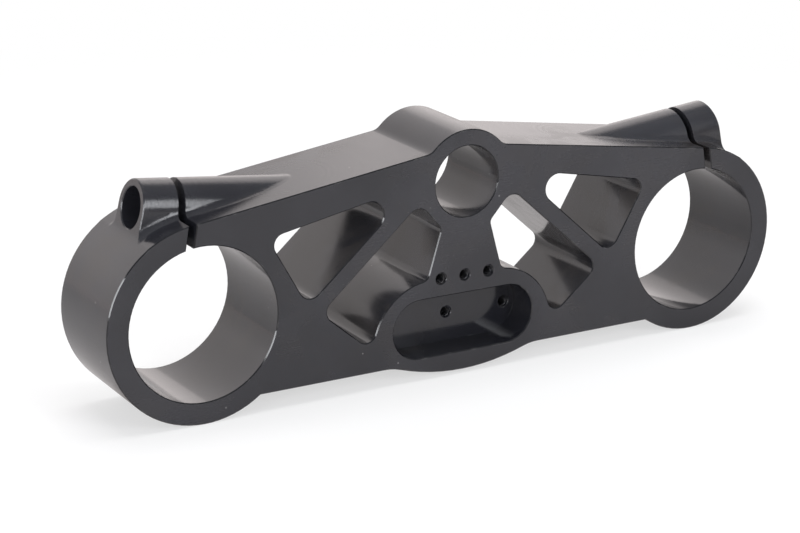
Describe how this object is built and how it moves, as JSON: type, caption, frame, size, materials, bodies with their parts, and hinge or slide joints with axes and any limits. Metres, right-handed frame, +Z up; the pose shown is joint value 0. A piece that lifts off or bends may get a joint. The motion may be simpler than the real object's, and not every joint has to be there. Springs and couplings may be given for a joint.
{
  "type": "motorcycle triple clamp",
  "caption": "Milled fork yoke: two split clamping rings with pinch bosses, a stem bore between them, a lightened web and a blind pocket with tapped holes.",
  "frame": {"origin": "on the axis of the stem bore, half-way through the thickness", "axes": "+X along the clamp from the left ring to the right ring, +Y along the bores from the front face to the back, +Z up, from the rings' feet to the stem boss"},
  "size_m": [0.271, 0.038, 0.089],
  "materials": {
    "anodised_billet": "dark satin anodised, milled"
  },
  "bodies": {
    "root": {"triple_clamp": "anodised_billet"}
  },
  "joints": []
}
